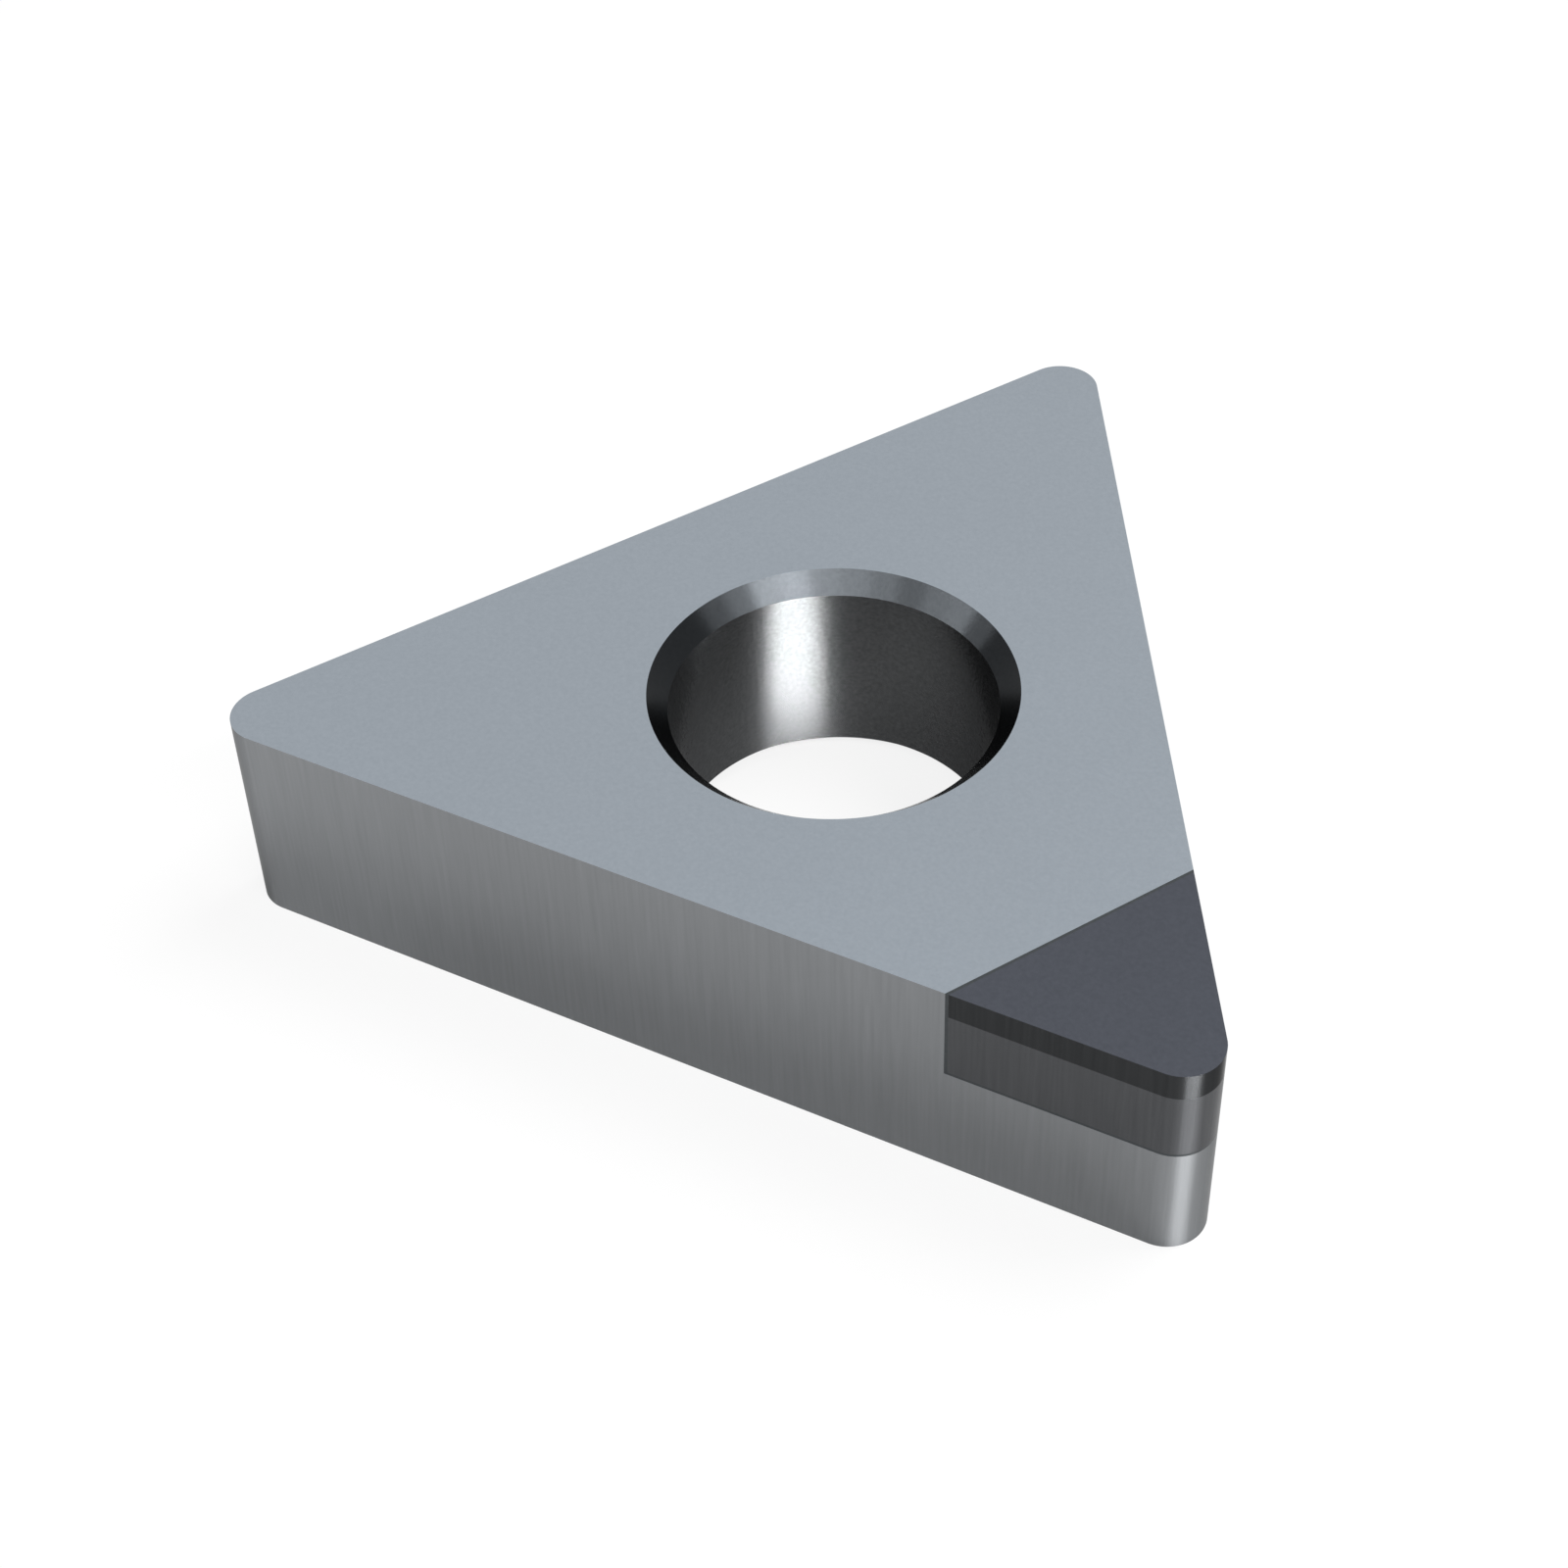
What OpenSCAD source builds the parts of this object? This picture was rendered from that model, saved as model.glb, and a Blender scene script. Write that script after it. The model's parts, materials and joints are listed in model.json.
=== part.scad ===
// Triangular turning insert with one corner tipped in polycrystalline diamond.
// The insert is a ground plate of cemented carbide with straight flanks, equal round corners
// and a hole chamfered at both ends. Under the tip a step is ground into the corner, and a blank
// of carbide with a diamond layer on it is brazed in there and ground flush all round.
// The origin lies on the hole's axis, in the face that rests in the holder.
// +Z points to the rake face, and +X points to the tipped corner.

/* [Plate] */
// Diameter of the circle that touches the three flanks
inscribed_circle = 6.35; // [5:0.05:12.7]
// Distance from the seat face to the rake face
plate_thickness = 2.38; // [1.6:0.01:4.8]
// Radius of the round corners, seen from above
nose_radius = 0.4; // [0.1:0.05:0.8]

/* [Hole] */
// Diameter of the straight bore
hole_diameter = 3.3; // [2:0.05:3.8]
// Depth and width of the 45 degree chamfer at each end of the hole
hole_chamfer = 0.2; // [0.05:0.01:0.4]

/* [Tip] */
// Distance from the pocket's wall to the point where the flanks at the tip would meet
pocket_reach = 2.4; // [1.6:0.05:2.8]
// Thickness of the layer of sintered diamond
diamond_thickness = 0.3; // [0.2:0.05:0.6]
// Thickness of the carbide that carries the diamond layer
backing_thickness = 0.75; // [0.4:0.05:1]
// Thickness of the braze film under and behind the tip
braze_thickness = 0.03; // [0.02:0.01:0.1]

/* [Hidden] */
$fn = 96;

// Directions from the hole's axis to the corners of an equilateral triangle, the tipped one first
corner_angles = [0, 120, 240];
// Half the angle between the normals of the two flanks that meet at a corner
half_turn = 60;
// A sharp corner lies as far from the axis as the inscribed circle is wide
corner_distance = inscribed_circle;
// The corner arc touches both flanks, so its centre lies two radii in from the sharp corner
arc_centre_distance = corner_distance - 2 * nose_radius;

hole_radius = hole_diameter / 2;

// Faces of the pocket, and of the tip that lies in it with the braze film between
pocket_wall_x = corner_distance - pocket_reach;
tip_wall_x = pocket_wall_x + braze_thickness;
backing_top_z = plate_thickness - diamond_thickness;
tip_floor_z = backing_top_z - backing_thickness;
pocket_floor_z = tip_floor_z - braze_thickness;

// Point at a distance and an angle from another point
function around(centre, distance, angle) = centre + distance * [cos(angle), sin(angle)];

// Centre of one corner's arc
function arc_centre(corner) = around([0, 0], arc_centre_distance, corner);

// Rounded end of one corner, between the two lines from its centre to where it meets the flanks
module corner_arc(corner) {
    centre = arc_centre(corner);
    intersection() {
        translate(centre) circle(r = nose_radius);
        polygon([
            centre,
            around(centre, 2 * nose_radius, corner - half_turn),
            around(centre, 2 * nose_radius, corner),
            around(centre, 2 * nose_radius, corner + half_turn)
        ]);
    }
}

// Outline of the insert from above: three straight flanks joined by tangent arcs
module plate_outline() {
    polygon([
        for (corner = corner_angles)
            for (point = [
                around(arc_centre(corner), nose_radius, corner - half_turn),
                arc_centre(corner),
                around(arc_centre(corner), nose_radius, corner + half_turn)
            ])
                point
    ]);
    for (corner = corner_angles) corner_arc(corner);
}

// Part of the outline that lies between an upright wall and the tipped corner
module tip_outline(wall_x) {
    intersection() {
        plate_outline();
        translate([wall_x, -corner_distance]) square([corner_distance, 2 * corner_distance]);
    }
}

// Piece of the tipped corner between a wall, a floor and a top, flush with the flanks
module tip_slab(wall_x, floor_z, top_z) {
    translate([0, 0, floor_z]) linear_extrude(top_z - floor_z) tip_outline(wall_x);
}

// Room from a wall and a floor out past the corner and the rake face
module tip_room(wall_x, floor_z) {
    translate([wall_x, -corner_distance, floor_z])
        cube([corner_distance, 2 * corner_distance, plate_thickness]);
}

// Room of the hole: the bore, with a chamfer that widens past each face of the plate
module hole_room() {
    past = hole_chamfer;
    wide_radius = hole_radius + hole_chamfer + past;
    rotate_extrude() polygon([
        [0, -past],
        [wide_radius, -past],
        [hole_radius, hole_chamfer],
        [hole_radius, plate_thickness - hole_chamfer],
        [wide_radius, plate_thickness + past],
        [0, plate_thickness + past]
    ]);
}

// Plate of cemented carbide, with its hole and the open pocket at the tipped corner
module carbide_body() {
    color([0.60, 0.63, 0.66]) difference() {
        linear_extrude(plate_thickness) plate_outline();
        hole_room();
        tip_room(pocket_wall_x, pocket_floor_z);
    }
}

// Film of braze on the pocket's floor and up its wall, ground flush where it comes out
module braze_layer() {
    color([0.22, 0.22, 0.23]) difference() {
        tip_slab(pocket_wall_x, pocket_floor_z, plate_thickness);
        tip_room(tip_wall_x, tip_floor_z);
    }
}

// Carbide under the diamond layer, which the braze holds
module carbide_backing() {
    color([0.29, 0.29, 0.30]) tip_slab(tip_wall_x, tip_floor_z, backing_top_z);
}

// Diamond layer, whose top is the rake face at the tip and whose rim is the cutting edge
module diamond_layer() {
    color([0.33, 0.34, 0.37]) tip_slab(tip_wall_x, backing_top_z, plate_thickness);
}

carbide_body();
braze_layer();
carbide_backing();
diamond_layer();
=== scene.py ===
import json
import math

import bmesh
import bpy
from mathutils import Matrix, Quaternion, Vector


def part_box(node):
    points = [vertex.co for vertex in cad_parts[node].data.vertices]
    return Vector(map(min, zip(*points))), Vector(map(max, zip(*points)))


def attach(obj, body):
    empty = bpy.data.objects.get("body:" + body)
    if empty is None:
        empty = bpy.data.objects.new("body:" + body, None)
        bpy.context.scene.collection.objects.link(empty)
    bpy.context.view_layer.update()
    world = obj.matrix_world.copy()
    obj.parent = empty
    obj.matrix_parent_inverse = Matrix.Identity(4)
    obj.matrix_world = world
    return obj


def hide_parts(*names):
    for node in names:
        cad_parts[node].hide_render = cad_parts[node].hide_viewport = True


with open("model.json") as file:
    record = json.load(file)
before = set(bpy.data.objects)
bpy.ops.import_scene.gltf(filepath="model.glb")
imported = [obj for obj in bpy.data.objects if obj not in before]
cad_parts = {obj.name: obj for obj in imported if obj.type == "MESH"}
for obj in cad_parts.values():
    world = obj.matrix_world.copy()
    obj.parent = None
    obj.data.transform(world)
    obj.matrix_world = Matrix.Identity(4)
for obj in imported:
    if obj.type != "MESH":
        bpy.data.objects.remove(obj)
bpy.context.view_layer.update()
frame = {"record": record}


# Body of the insert, a triangular plate with a screw hole and a stepped pocket at one corner.
# It is tungsten carbide in a cobalt binder, pressed and sintered with its hole, then lapped on both
# faces. Its flanks and corners are ground last, in one pass round the body and its brazed tip.

MM = 0.001


def box_in_mm(node):
    """Lowest and highest corner of a piece of the frame, in millimetres."""
    low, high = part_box(node)
    return low / MM, high / MM


body_low, body_high = box_in_mm("carbide_body")
braze_low, _ = box_in_mm("braze_layer")
diamond_low, diamond_high = box_in_mm("diamond_layer")
screw_hole = next(mount for mount in frame["record"]["mounts"] if mount["name"] == "screw_hole")

inscribed_radius = -body_low.x
thickness = body_high.z
nose_radius = 2 * inscribed_radius - diamond_high.x
hole_radius = screw_hole["dims"]["r_mm"]
hole_chamfer = (thickness - screw_hole["dims"]["length_mm"]) / 2
arc_steps = 40
hole_steps = 192
same_place = 1e-4
chamfer_angle = 45
chamfer_lean = math.sin(math.radians(chamfer_angle))
lean_slack = 0.1

# Each section line starts in the rake face and goes down to the seat face. Its points are
# (way into the open air, depth).
rim_section = [
    (0, 0),
    (0, thickness),
]
hole_section = [
    (hole_chamfer, 0),
    (0, hole_chamfer),
    (0, thickness - hole_chamfer),
    (hole_chamfer, thickness),
]


def linear(hex_colour):
    """A written sRGB colour as the linear colour that a shader takes."""
    parts = [int(hex_colour[i : i + 2], 16) / 255 for i in (1, 3, 5)]
    return [c / 12.92 if c <= 0.04045 else ((c + 0.055) / 1.055) ** 2.4 for c in parts] + [1]


def add_node(tree, kind, settings=None, values=None, links=None):
    """Adds a node with its settings, the constant values of its sockets and what feeds the others.
    A socket goes by its identifier, and a link is (node, output) or a list of them."""
    node = tree.nodes.new(kind)
    for name, value in (settings or {}).items():
        setattr(node, name, value)
    sockets = {socket.identifier: socket for socket in node.inputs}
    for name, value in (values or {}).items():
        sockets[name].default_value = value
    for name, sources in (links or {}).items():
        for source, output in sources if isinstance(sources, list) else [sources]:
            found = next(s for s in source.outputs if output in (s.identifier, s.name))
            tree.links.new(found, sockets[name])
    return node


def blank_tree():
    """Tree that makes the ground blank, the one form that all the pieces are cut from. It sweeps the
    two section lines of its input round the outline and the hole, and fills the two flat faces."""
    tree = bpy.data.node_groups.new("ground_blank", "GeometryNodeTree")
    tree.interface.new_socket("Geometry", in_out="OUTPUT", socket_type="NodeSocketGeometry")
    tree.interface.new_socket("Sections", in_out="INPUT", socket_type="NodeSocketGeometry")
    for name in ("Inscribed radius", "Nose radius", "Hole radius", "Thickness"):
        tree.interface.new_socket(name, in_out="INPUT", socket_type="NodeSocketFloat")
    for name in ("Arc steps", "Hole steps"):
        tree.interface.new_socket(name, in_out="INPUT", socket_type="NodeSocketInt")
    for name in ("Faces", "Flanks", "Bore", "Chamfers"):
        tree.interface.new_socket(name, in_out="INPUT", socket_type="NodeSocketMaterial")
    given = add_node(tree, "NodeGroupInput")

    # Outline: a triangle whose corners lie two inscribed radii out, with its corners rounded
    corner_distance = add_node(
        tree, "ShaderNodeMath", {"operation": "MULTIPLY"}, {"Value_001": 2},
        {"Value": (given, "Inscribed radius")},
    )
    triangle = add_node(
        tree, "GeometryNodeCurvePrimitiveCircle", {"mode": "RADIUS"}, {"Resolution": 3},
        {"Radius": (corner_distance, "Value")},
    )
    outline = add_node(
        tree, "GeometryNodeFilletCurve", {"mode": "POLY"}, None,
        {
            "Curve": (triangle, "Curve"),
            "Count": (given, "Arc steps"),
            "Radius": (given, "Nose radius"),
        },
    )
    circle = add_node(
        tree, "GeometryNodeCurvePrimitiveCircle", {"mode": "RADIUS"}, None,
        {"Resolution": (given, "Hole steps"), "Radius": (given, "Hole radius")},
    )

    # Walls: the first section line goes round the outline and the second round the hole
    index = add_node(tree, "GeometryNodeInputIndex")
    is_hole = add_node(
        tree, "FunctionNodeCompare", {"data_type": "INT", "operation": "EQUAL"}, {"B_INT": 1},
        {"A_INT": (index, "Index")},
    )
    sections = add_node(
        tree, "GeometryNodeSeparateGeometry", {"domain": "CURVE"}, None,
        {"Geometry": (given, "Sections"), "Selection": (is_hole, "Result")},
    )
    walls = []
    for path, section, finish in ((outline, "Inverted", "Flanks"), (circle, "Selection", "Bore")):
        upright = add_node(
            tree, "GeometryNodeSetCurveNormal", {"mode": "Z_UP"}, None, {"Curve": (path, "Curve")}
        )
        sweep = add_node(
            tree, "GeometryNodeCurveToMesh", None, None,
            {"Curve": (upright, "Curve"), "Profile Curve": (sections, section)},
        )
        wall = add_node(
            tree, "GeometryNodeSetMaterial", None, None,
            {"Geometry": (sweep, "Mesh"), "Material": (given, finish)},
        )
        walls.append((wall, "Geometry"))
    rims = add_node(tree, "GeometryNodeJoinGeometry", None, None, {"Geometry": walls})

    # Faces: the open loops in the rake plane bound the rake face, and the seat face is its copy below
    neighbours = add_node(tree, "GeometryNodeInputMeshEdgeNeighbors")
    is_open = add_node(
        tree, "FunctionNodeCompare", {"data_type": "INT", "operation": "EQUAL"}, {"B_INT": 1},
        {"A_INT": (neighbours, "Face Count")},
    )
    place = add_node(tree, "GeometryNodeInputPosition")
    height = add_node(tree, "ShaderNodeSeparateXYZ", None, None, {"Vector": (place, "Position")})
    is_rake = add_node(
        tree, "ShaderNodeMath", {"operation": "COMPARE"}, {"Value_001": 0, "Value_002": same_place},
        {"Value": (height, "Z")},
    )
    is_loop = add_node(
        tree, "FunctionNodeBooleanMath", {"operation": "AND"}, None,
        {"Boolean": (is_open, "Result"), "Boolean_001": (is_rake, "Value")},
    )
    loops = add_node(
        tree, "GeometryNodeMeshToCurve", None, None,
        {"Mesh": (rims, "Geometry"), "Selection": (is_loop, "Boolean")},
    )
    rake = add_node(
        tree, "GeometryNodeFillCurve", {"mode": "TRIANGLES"}, None, {"Curve": (loops, "Curve")}
    )
    depth = add_node(
        tree, "ShaderNodeMath", {"operation": "MULTIPLY"}, {"Value_001": -1},
        {"Value": (given, "Thickness")},
    )
    drop = add_node(tree, "ShaderNodeCombineXYZ", None, None, {"Z": (depth, "Value")})
    seat = add_node(
        tree, "GeometryNodeTransform", None, None,
        {"Geometry": (rake, "Mesh"), "Translation": (drop, "Vector")},
    )
    faces = add_node(
        tree, "GeometryNodeJoinGeometry", None, None,
        {"Geometry": [(rake, "Mesh"), (seat, "Geometry")]},
    )
    lapped = add_node(
        tree, "GeometryNodeSetMaterial", None, None,
        {"Geometry": (faces, "Geometry"), "Material": (given, "Faces")},
    )

    # The closed blank, lifted so that its seat face lies at height zero
    closed = add_node(
        tree, "GeometryNodeJoinGeometry", None, None,
        {"Geometry": [(rims, "Geometry"), (lapped, "Geometry")]},
    )
    merged = add_node(
        tree, "GeometryNodeMergeByDistance", None, {"Distance": same_place},
        {"Geometry": (closed, "Geometry")},
    )
    rise = add_node(tree, "ShaderNodeCombineXYZ", None, None, {"Z": (given, "Thickness")})
    lifted = add_node(
        tree, "GeometryNodeTransform", None, None,
        {"Geometry": (merged, "Geometry"), "Translation": (rise, "Vector")},
    )

    # Chamfers: the only faces that lean halfway
    normal = add_node(tree, "GeometryNodeInputNormal")
    lean = add_node(tree, "ShaderNodeSeparateXYZ", None, None, {"Vector": (normal, "Normal")})
    steepness = add_node(
        tree, "ShaderNodeMath", {"operation": "ABSOLUTE"}, None, {"Value": (lean, "Z")}
    )
    is_chamfer = add_node(
        tree, "ShaderNodeMath", {"operation": "COMPARE"},
        {"Value_001": chamfer_lean, "Value_002": lean_slack}, {"Value": (steepness, "Value")},
    )
    finished = add_node(
        tree, "GeometryNodeSetMaterial", None, None,
        {
            "Geometry": (lifted, "Geometry"),
            "Selection": (is_chamfer, "Value"),
            "Material": (given, "Chamfers"),
        },
    )
    result = tree.interface.items_tree["Geometry"].identifier
    add_node(tree, "NodeGroupOutput", None, None, {result: (finished, "Geometry")})
    return tree


blank_nodes = blank_tree()


def blank(faces, flanks, bore, chamfers):
    """The ground blank as an editable mesh in millimetres, and its finishes in the order of their
    slots. The flanks' finish comes first, so that faces made later by a cut have it too."""
    lines = bpy.data.curves.new("sections", "CURVE")
    lines.dimensions = "3D"
    for section in (rim_section, hole_section):
        line = lines.splines.new("POLY")
        line.points.add(len(section) - 1)
        for point, (out, down) in zip(line.points, section):
            point.co = (out, down, 0, 1)
    holder = bpy.data.objects.new("sections", lines)
    bpy.context.scene.collection.objects.link(holder)
    sweep = holder.modifiers.new("blank", "NODES")
    sweep.node_group = blank_nodes
    inputs = {
        "Inscribed radius": inscribed_radius,
        "Nose radius": nose_radius,
        "Hole radius": hole_radius,
        "Thickness": thickness,
        "Arc steps": arc_steps,
        "Hole steps": hole_steps,
        "Faces": faces,
        "Flanks": flanks,
        "Bore": bore,
        "Chamfers": chamfers,
    }
    for name, value in inputs.items():
        sweep[blank_nodes.interface.items_tree[name].identifier] = value
    ready = holder.evaluated_get(bpy.context.evaluated_depsgraph_get())
    plain = bpy.data.meshes.new_from_object(ready)
    bpy.data.objects.remove(holder)
    mesh = bmesh.new()
    mesh.from_mesh(plain)
    bmesh.ops.remove_doubles(mesh, verts=mesh.verts[:], dist=same_place)
    bmesh.ops.recalc_face_normals(mesh, faces=mesh.faces[:])
    finishes = list(dict.fromkeys((flanks, faces, bore, chamfers)))
    for face in mesh.faces:
        face.material_index = finishes.index(plain.materials[face.material_index])
    return mesh, finishes


def cut_step(mesh, wall_x, floor_z):
    """Takes away the corner beyond an upright wall and above a floor, and closes both."""
    whole = mesh.verts[:] + mesh.edges[:] + mesh.faces[:]
    bmesh.ops.bisect_plane(
        mesh, geom=whole, dist=same_place, plane_co=(wall_x, 0, 0), plane_no=(1, 0, 0)
    )
    beyond = [f for f in mesh.faces if f.calc_center_median().x > wall_x]
    edges = {e for f in beyond for e in f.edges}
    verts = {v for f in beyond for v in f.verts}
    bmesh.ops.bisect_plane(
        mesh, geom=[*verts, *edges, *beyond], dist=same_place, plane_co=(0, 0, floor_z),
        plane_no=(0, 0, 1),
    )
    middles = [(f, f.calc_center_median()) for f in mesh.faces]
    gone = [f for f, middle in middles if middle.x > wall_x and middle.z > floor_z]
    bmesh.ops.delete(mesh, geom=gone, context="FACES")
    rim = [e for e in mesh.edges if e.is_boundary]
    ends = {v for e in rim for v in e.verts}
    corner = [
        v for v in ends
        if abs(v.co.x - wall_x) < same_place and abs(v.co.z - floor_z) < same_place
    ]
    inner = mesh.edges.new(corner)
    for axis, place in ((0, wall_x), (2, floor_z)):
        side = [e for e in rim if all(abs(v.co[axis] - place) < same_place for v in e.verts)]
        bmesh.ops.edgeloop_fill(mesh, edges=[*side, inner])


sharp_angle = math.radians(20)


def finished_piece(name, mesh, finishes, node):
    """Turns a cut blank into a piece in metres that stands for a node of the frame."""
    bmesh.ops.recalc_face_normals(mesh, faces=mesh.faces[:])
    for face in mesh.faces:
        face.smooth = True
    for edge in mesh.edges:
        edge.smooth = edge.calc_face_angle() < sharp_angle
    bmesh.ops.scale(mesh, vec=(MM, MM, MM), verts=mesh.verts[:])
    data = bpy.data.meshes.new(name)
    mesh.to_mesh(data)
    mesh.free()
    for finish in finishes:
        data.materials.append(finish)
    piece = bpy.data.objects.new(name, data)
    bpy.context.scene.collection.objects.link(piece)
    weighted = piece.modifiers.new("flat_flanks", "WEIGHTED_NORMAL")
    weighted.keep_sharp = True
    ready = piece.evaluated_get(bpy.context.evaluated_depsgraph_get())
    plain = bpy.data.meshes.new_from_object(ready)
    piece.modifiers.clear()
    piece.data = plain
    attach(piece, "root")
    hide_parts(node)


cloud_size = 1.5
cloud_detail = 3
grain_detail = 2
roughness_drift = 0.02


def metal(
    name, light, dark, roughness, grain, relief, lay=(1, 1, 1), pull=0.0, rim="#FFFFFF", metallic=1.0
):
    """Bare metal with a fine grain that goes from dark to light and stands up by the relief, both in
    millimetres. A lay below 1 draws the grain out along that axis. Soft clouds drift the roughness.
    Pull draws highlights out level, across upright grinding lines, and rim tints glancing light.
    Below 1, metallic leaves a share of plain dark oxide skin."""
    made = bpy.data.materials.new(name)
    made.use_nodes = True
    tree = made.node_tree
    tree.nodes.clear()
    place = add_node(tree, "ShaderNodeTexCoord")
    clouds = add_node(
        tree, "ShaderNodeTexNoise", {"noise_dimensions": "3D"},
        {"Scale": 1 / (cloud_size * MM), "Detail": cloud_detail}, {"Vector": (place, "Object")},
    )
    rough = add_node(
        tree, "ShaderNodeMapRange", None,
        {"To Min": roughness - roughness_drift, "To Max": roughness + roughness_drift},
        {"Value": (clouds, "Fac")},
    )
    squeezed = add_node(
        tree, "ShaderNodeMapping", {"vector_type": "POINT"}, {"Scale": lay},
        {"Vector": (place, "Object")},
    )
    grains = add_node(
        tree, "ShaderNodeTexNoise", {"noise_dimensions": "3D"},
        {"Scale": 1 / (grain * MM), "Detail": grain_detail}, {"Vector": (squeezed, "Vector")},
    )
    colour = add_node(
        tree, "ShaderNodeMix", {"data_type": "RGBA"},
        {"A_Color": linear(dark), "B_Color": linear(light)}, {"Factor_Float": (grains, "Fac")},
    )
    bump = add_node(
        tree, "ShaderNodeBump", None, {"Distance": relief * MM, "Strength": 1},
        {"Height": (grains, "Fac")},
    )
    level = add_node(tree, "ShaderNodeTangent", {"direction_type": "RADIAL", "axis": "Z"})
    shader = add_node(
        tree, "ShaderNodeBsdfPrincipled", None,
        {"Metallic": metallic, "Anisotropic": pull, "Specular Tint": linear(rim)},
        {
            "Base Color": (colour, "Result_Color"),
            "Roughness": (rough, "Result"),
            "Normal": (bump, "Normal"),
            "Tangent": (level, "Tangent"),
        },
    )
    add_node(tree, "ShaderNodeOutputMaterial", None, None, {"Surface": (shader, "BSDF")})
    return made


# Real carbide grains and grinding lines are a few micrometres wide. Here they are drawn at about
# ten times that, so that they still show.
grain_size = 0.04
line_pitch = 0.04
upright_lines = (1, 1, 0.04)

# Lapped carbide, rubbed on a flat plate with loose diamond grit: an even blue-grey satin
lapped_carbide = metal(
    "lapped_carbide", "#9BA3AB", "#9199A1", roughness=0.24, grain=grain_size, relief=0.0003
)

# Ground carbide, cut by a diamond wheel whose lines run up the flank: glossier level, and darker
# partly by painted shade, the flank's dimmer light put into its colour
ground_carbide_painted_shade = metal(
    "ground_carbide_painted_shade", "#838587", "#76787A", roughness=0.31, grain=line_pitch, relief=0.001,
    lay=upright_lines, pull=0.5, rim="#C4C4C4",
)

# Sintered carbide as it leaves the furnace, never ground: a partly dull, faintly grainy bore, its dark
# colour partly its skin and partly painted shade of the deep hole
sintered_carbide_painted_shade = metal(
    "sintered_carbide_painted_shade", "#4B4C4D", "#313233", roughness=0.233, grain=grain_size, relief=0.002,
    rim="#989898", metallic=0.75,
)

# Pressed carbide, shaped by a punch that was polished along its stroke, with a clear gloss that
# is drawn out round the chamfer. Its near-black colour is painted shade of the hole's rim
pressed_carbide_painted_shade = metal(
    "pressed_carbide_painted_shade", "#282A2C", "#1E2022", roughness=0.14, grain=grain_size, relief=0.0004,
    pull=0.7, rim="#E0E0E0", metallic=0.95,
)

body_mesh, body_finishes = blank(
    lapped_carbide, ground_carbide_painted_shade, sintered_carbide_painted_shade, pressed_carbide_painted_shade
)
cut_step(body_mesh, braze_low.x, braze_low.z)
finished_piece("plate", body_mesh, body_finishes, "carbide_body")


# Braze film, the thin joint on the wall and the floor of the pocket that holds the tip.
# It is a silver alloy that wets both sides when the seat is heated. Ground flush with the flanks,
# it shows as a dark hairline round the tip.

backing_low, backing_high = box_in_mm("carbide_backing")


def keep_side(mesh, point, outward):
    """Cuts the mesh at a plane, takes away what lies outward of it and closes the cut."""
    whole = mesh.verts[:] + mesh.edges[:] + mesh.faces[:]
    cut = bmesh.ops.bisect_plane(
        mesh, geom=whole, dist=same_place, plane_co=point, plane_no=outward, clear_outer=True
    )
    rim = [part for part in cut["geom_cut"] if isinstance(part, bmesh.types.BMEdge)]
    bmesh.ops.edgeloop_fill(mesh, edges=rim)


# Silver braze, dulled by flux and heat and then ground: a soft, even grey without lines
silver_braze = metal(
    "silver_braze", "#45484A", "#393C3E", roughness=0.4, grain=grain_size, relief=0.0003
)

braze_mesh, braze_finishes = blank(silver_braze, silver_braze, silver_braze, silver_braze)
keep_side(braze_mesh, (braze_low.x, 0, 0), (-1, 0, 0))
keep_side(braze_mesh, (0, 0, braze_low.z), (0, 0, -1))
cut_step(braze_mesh, backing_low.x, backing_low.z)
finished_piece("braze_film", braze_mesh, braze_finishes, "braze_layer")


# Backing of the tip, the carbide plate that the diamond is sintered onto.
# It has more cobalt than the body, so it is darker. It gives the braze a metal to wet, and is cut
# to the pocket from a wide disc with the diamond already on it.

# Ground backing, cut by the same wheel as the flanks: the same upright lines on a darker grey
ground_backing = metal(
    "ground_backing", "#505153", "#434446", roughness=0.3, grain=line_pitch, relief=0.001,
    lay=upright_lines, pull=0.6, rim="#E0E0E0",
)

backing_mesh, backing_finishes = blank(ground_backing, ground_backing, ground_backing, ground_backing)
keep_side(backing_mesh, (backing_low.x, 0, 0), (-1, 0, 0))
keep_side(backing_mesh, (0, 0, backing_low.z), (0, 0, -1))
keep_side(backing_mesh, (0, 0, backing_high.z), (0, 0, 1))
finished_piece("tip_backing", backing_mesh, backing_finishes, "carbide_backing")


# Diamond layer, the cutting edge. It is diamond grit grown together under high pressure with cobalt
# from the backing. Its top is lapped with the rake face, and its side is ground round the nose.

# Lapped diamond: harder than the carbide, so it takes a finer finish, a smooth dark blue-grey
lapped_diamond = metal(
    "lapped_diamond", "#555860", "#4A4D54", roughness=0.24, grain=grain_size, relief=0.0002,
    rim="#B0B0B0",
)

# Ground diamond: its cut side darker than its top partly by painted shade, with a tight bright glint
# down the nose
ground_diamond_painted_shade = metal(
    "ground_diamond_painted_shade", "#38393A", "#2B2C2D", roughness=0.17, grain=line_pitch, relief=0.0005,
    lay=upright_lines, pull=0.87, rim="#BCBCBC",
)

diamond_mesh, diamond_finishes = blank(lapped_diamond, ground_diamond_painted_shade, ground_diamond_painted_shade, ground_diamond_painted_shade)
keep_side(diamond_mesh, (diamond_low.x, 0, 0), (-1, 0, 0))
keep_side(diamond_mesh, (0, 0, diamond_low.z), (0, 0, -1))
finished_piece("tip_diamond", diamond_mesh, diamond_finishes, "diamond_layer")


# Light table and room. The insert lies on a sheet of white acrylic, which lamps below it shine
# through. The room is white as far as the camera and bright surfaces see it, and gives a soft
# light of its own.

room_light = 0.12
camera_glow = 0.85
metal_glow = 0.12
fade_start = 15
fade_end = 60
opal_white = "#F8F8F8"
table_size = 400
table_gap = 0.002


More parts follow.
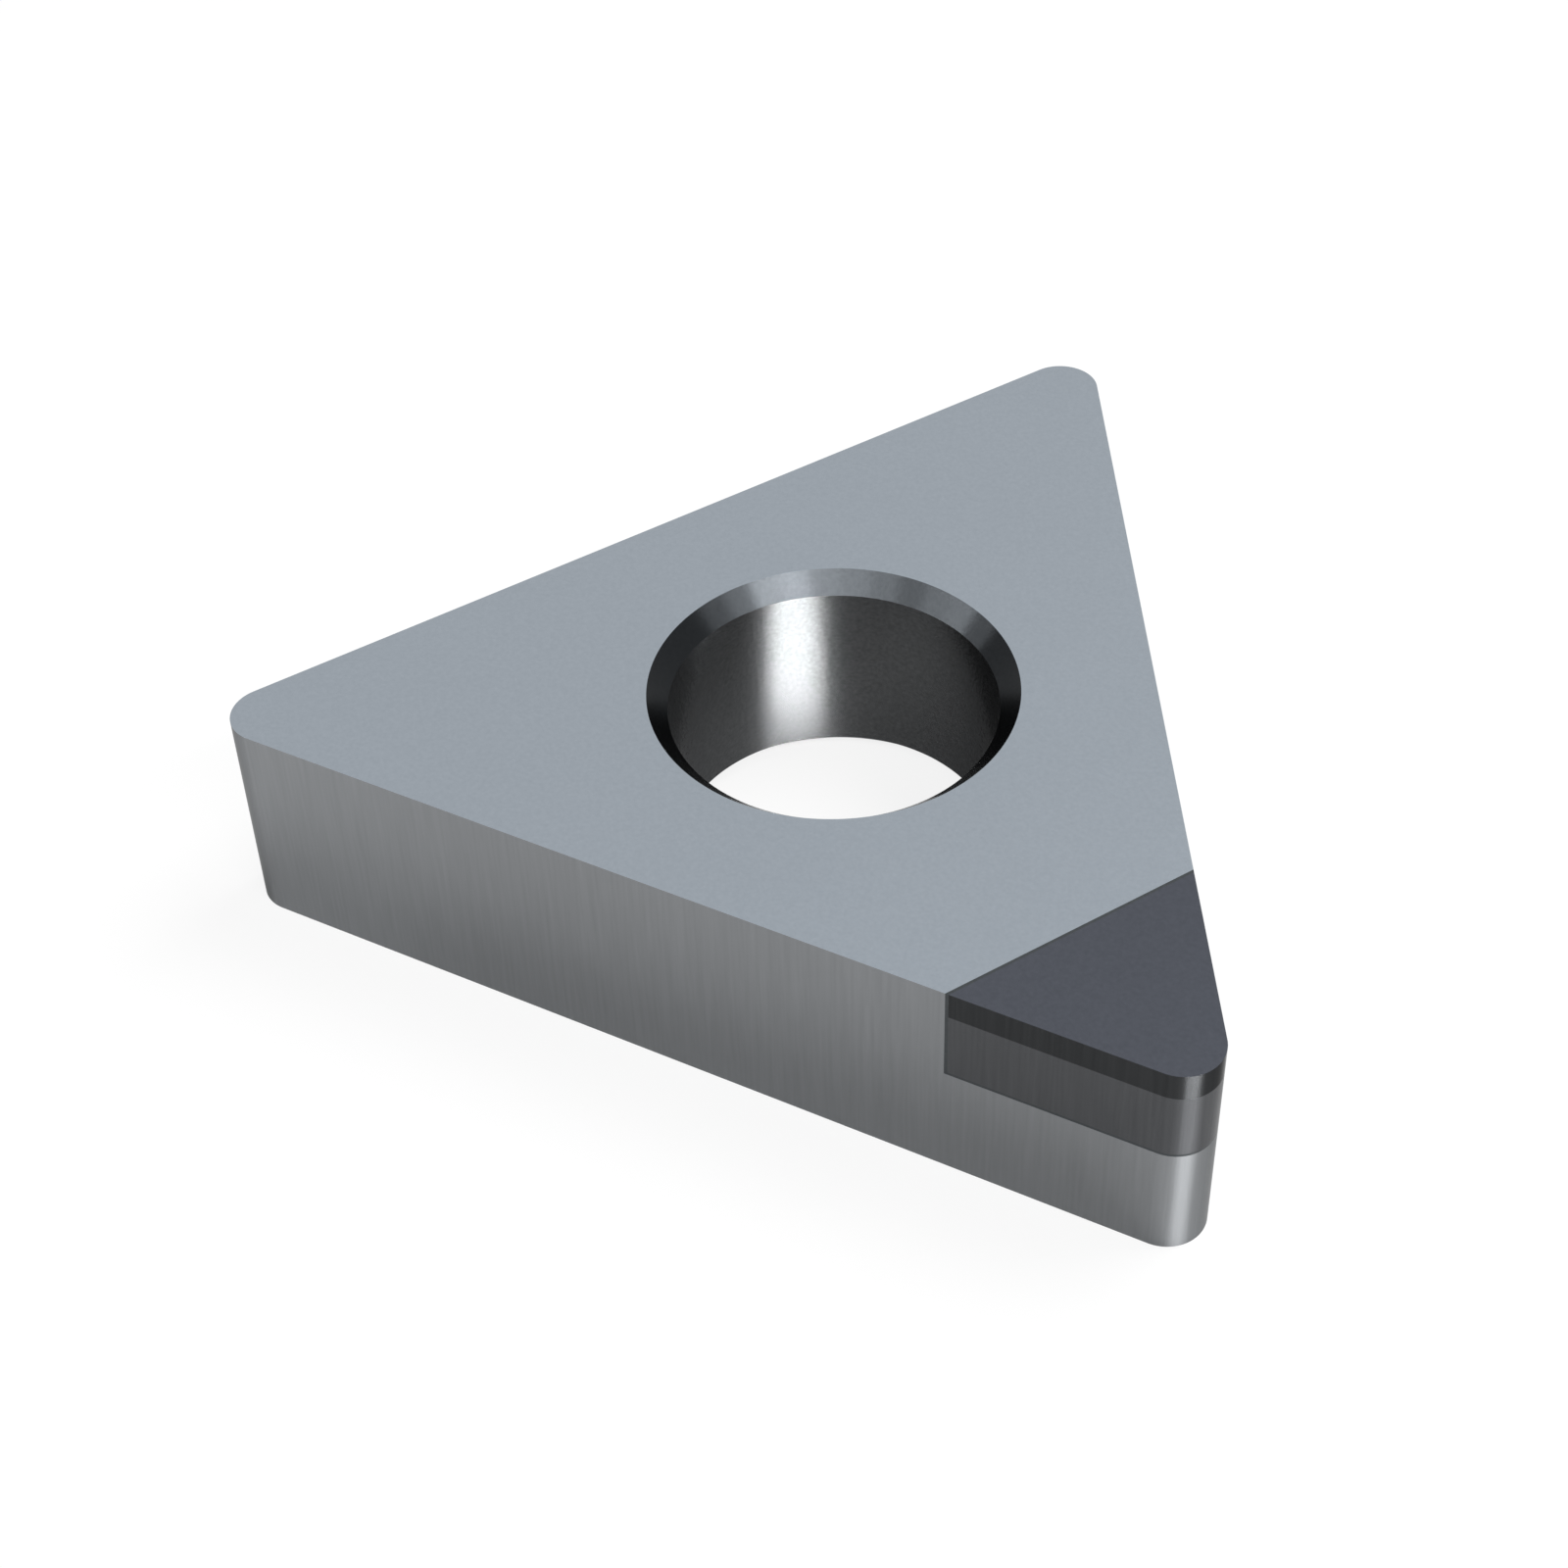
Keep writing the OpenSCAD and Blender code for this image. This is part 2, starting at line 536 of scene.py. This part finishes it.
def reflected_rays(tree):
    """1 for a ray that has just left metal or passed through glass, and 0 for any other."""
    ray = add_node(tree, "ShaderNodeLightPath")
    return add_node(
        tree, "ShaderNodeMath", {"operation": "MAXIMUM"}, None,
        {"Value": (ray, "Is Glossy Ray"), "Value_001": (ray, "Is Transmission Ray")},
    )


room = bpy.data.worlds.new("white_room")
room.use_nodes = True
# The room looks different to different rays, so its light is gathered only by those that reach it
room.cycles.sampling_method = "NONE"
tree = room.node_tree
tree.nodes.clear()
ray = add_node(tree, "ShaderNodeLightPath")
seen = add_node(
    tree, "ShaderNodeMath", {"operation": "MAXIMUM"}, None,
    {"Value": (ray, "Is Camera Ray"), "Value_001": (reflected_rays(tree), "Value")},
)
soft_light = add_node(
    tree, "ShaderNodeBackground", None, {"Color": (1, 1, 1, 1), "Strength": room_light}
)
white_wall = add_node(tree, "ShaderNodeBackground", None, {"Color": (1, 1, 1, 1), "Strength": 1})
wall = add_node(
    tree, "ShaderNodeMixShader", None, None,
    {
        "Fac": (seen, "Value"),
        "Shader": (soft_light, "Background"),
        "Shader_001": (white_wall, "Background"),
    },
)
add_node(tree, "ShaderNodeOutputWorld", None, None, {"Surface": (wall, "Shader")})
bpy.context.scene.world = room

# Opal acrylic: matt white, with a glow that keeps it white while the insert's shadow still shows
acrylic = bpy.data.materials.new("opal_acrylic")
acrylic.use_nodes = True
tree = acrylic.node_tree
tree.nodes.clear()
ray = add_node(tree, "ShaderNodeLightPath")
reflected_glow = add_node(
    tree, "ShaderNodeMath", {"operation": "MULTIPLY"}, {"Value_001": metal_glow},
    {"Value": (reflected_rays(tree), "Value")},
)
place = add_node(tree, "ShaderNodeTexCoord")
way_out = add_node(
    tree, "ShaderNodeVectorMath", {"operation": "LENGTH"}, None, {"Vector": (place, "Object")}
)
# Further out the sheet glows fully, so that it ends without a line against the white room
seen_glow = add_node(
    tree, "ShaderNodeMapRange", None,
    {"From Min": fade_start * MM, "From Max": fade_end * MM, "To Min": camera_glow, "To Max": 1},
    {"Value": (way_out, "Value")},
)
share = add_node(
    tree, "ShaderNodeMath", {"operation": "MULTIPLY_ADD"}, None,
    {
        "Value": (ray, "Is Camera Ray"),
        "Value_001": (seen_glow, "Result"),
        "Value_002": (reflected_glow, "Value"),
    },
)
matt = add_node(tree, "ShaderNodeBsdfDiffuse", None, {"Color": linear(opal_white)})
glow = add_node(tree, "ShaderNodeEmission", None, {"Color": (1, 1, 1, 1), "Strength": 1})
sheet = add_node(
    tree, "ShaderNodeMixShader", None, None,
    {"Fac": (share, "Value"), "Shader": (matt, "BSDF"), "Shader_001": (glow, "Emission")},
)
add_node(tree, "ShaderNodeOutputMaterial", None, None, {"Surface": (sheet, "Shader")})

mesh = bmesh.new()
bmesh.ops.create_grid(mesh, x_segments=1, y_segments=1, size=table_size * MM / 2)
table_mesh = bpy.data.meshes.new("table")
mesh.to_mesh(table_mesh)
mesh.free()
table_mesh.transform(Matrix.Translation((0, 0, -table_gap * MM)))
table_mesh.materials.append(acrylic)
table = bpy.data.objects.new("table", table_mesh)
table.visible_shadow = False
bpy.context.scene.collection.objects.link(table)


# Camera, at the height and turn of the photograph's. It comes before the lamps, because a row of them
# is placed by what it sees mirrored.

lens = 66.54
sensor_width = 36
camera_azimuth = -30.84
camera_elevation = 43.72
camera_distance = 29.35
camera_roll = -2.09
near_clip = 1
camera_aim = Vector((-0.18, -0.50, 1.19))


def direction(azimuth, elevation):
    """Unit vector towards a place in the studio. Azimuth 0 is +X, where the tip points."""
    across, up = math.radians(azimuth), math.radians(elevation)
    return Vector((math.cos(across) * math.cos(up), math.sin(across) * math.cos(up), math.sin(up)))


camera_data = bpy.data.cameras.new("camera")
camera_data.lens = lens
camera_data.sensor_width = sensor_width
camera_data.clip_start = near_clip * MM
camera_data.clip_end = table_size * MM
camera = bpy.data.objects.new("camera", camera_data)
back = direction(camera_azimuth, camera_elevation)
camera_place = camera_aim + back * camera_distance
camera.location = camera_place * MM
camera.rotation_mode = "QUATERNION"
roll = Quaternion((0, 0, 1), math.radians(camera_roll))
camera.rotation_quaternion = (-back).to_track_quat("-Z", "Y") @ roll
bpy.context.scene.collection.objects.link(camera)
bpy.context.scene.camera = camera
bpy.context.scene.view_settings.view_transform = "Standard"


# Lamps, soft boxes whose brightness is a multiple of the white room's. A row of narrow ones stands on
# the arc that the hole's chamfer mirrors, and a wide one behind throws the shadow that the front flank
# mirrors. Three small ones below the table light the nose, the bore and the flank's left end.

lamp_distance = 200
upward = Vector((0, 0, 1))
middle = upward * thickness / 2


def softbox(name, way, width, height, brightness, along=None, aim=middle, distance=lamp_distance):
    """Lamp with a soft rectangular face that stands off from its aim, in the direction of way, and
    looks back at it. Its width lies level, or along a given line. Its sizes are in millimetres."""
    data = bpy.data.lights.new(name, "AREA")
    data.shape = "RECTANGLE"
    data.size = width * MM
    data.size_y = height * MM
    data.energy = brightness * math.pi * data.size * data.size_y
    lamp = bpy.data.objects.new(name, data)
    lamp.location = (aim + way * distance) * MM
    line = upward.cross(way) if along is None else along
    side = (line - way * line.dot(way)).normalized()
    lamp.rotation_mode = "QUATERNION"
    lamp.rotation_quaternion = Matrix((side, way.cross(side), way)).transposed().to_quaternion()
    bpy.context.scene.collection.objects.link(lamp)
    return data


def chamfer_point(azimuth):
    """Point halfway down the upper chamfer, at an azimuth round the hole."""
    half = hole_chamfer / 2
    return direction(azimuth, 0) * (hole_radius + half) + upward * (thickness - half)


def mirrored(azimuth):
    """Direction that the camera sees mirrored in the upper chamfer, at an azimuth round the hole."""
    normal = direction(azimuth + 180, chamfer_angle)
    view = (camera_place - chamfer_point(azimuth)).normalized()
    return -view.reflect(normal)


# The row goes from the right side of the chamfer over its far side to the left
row_start = 90
row_step = 10
row_height = 14
row_brightness = (3, 10.2, 9.1, 6, 9.7, 13.2, 16, 28.4, 23.8, 7.1, 3)
for number, brightness in enumerate(row_brightness):
    azimuth = row_start + number * row_step
    spread = mirrored(azimuth + row_step / 2) - mirrored(azimuth - row_step / 2)
    softbox(
        f"row_{azimuth}", mirrored(azimuth), width=spread.length * lamp_distance, height=row_height,
        brightness=brightness, along=spread, aim=chamfer_point(azimuth),
    )

softbox("far", direction(82, 59), width=110, height=110, brightness=8.2)

stripe_azimuth = 161
left_corner_azimuth = 240
front_flank_azimuth = 300
nose = Vector((diamond_high.x, 0, (diamond_low.z + diamond_high.z) / 2))
bore_wall = direction(stripe_azimuth, 0) * hole_radius + middle
left_arc = direction(left_corner_azimuth, 0) * 2 * (inscribed_radius - nose_radius)
left_end = left_arc + direction(front_flank_azimuth, 0) * nose_radius + middle
below = [
    softbox("below_nose", direction(-1.2, -49.4), width=100, height=9, brightness=10.2, aim=nose),
    softbox(
        "below_bore", direction(-5.6, -36.2), width=2.2, height=2.2, brightness=27.5, aim=bore_wall,
        distance=5.6,
    ),
    softbox(
        "below_left", direction(-104, -43), width=4, height=4, brightness=0.19, aim=left_end,
        distance=6,
    ),
]
# The sheet stops rays that start at the insert, so these three are reached only by aiming at them
for lamp in below:
    lamp.cycles.use_multiple_importance_sampling = False
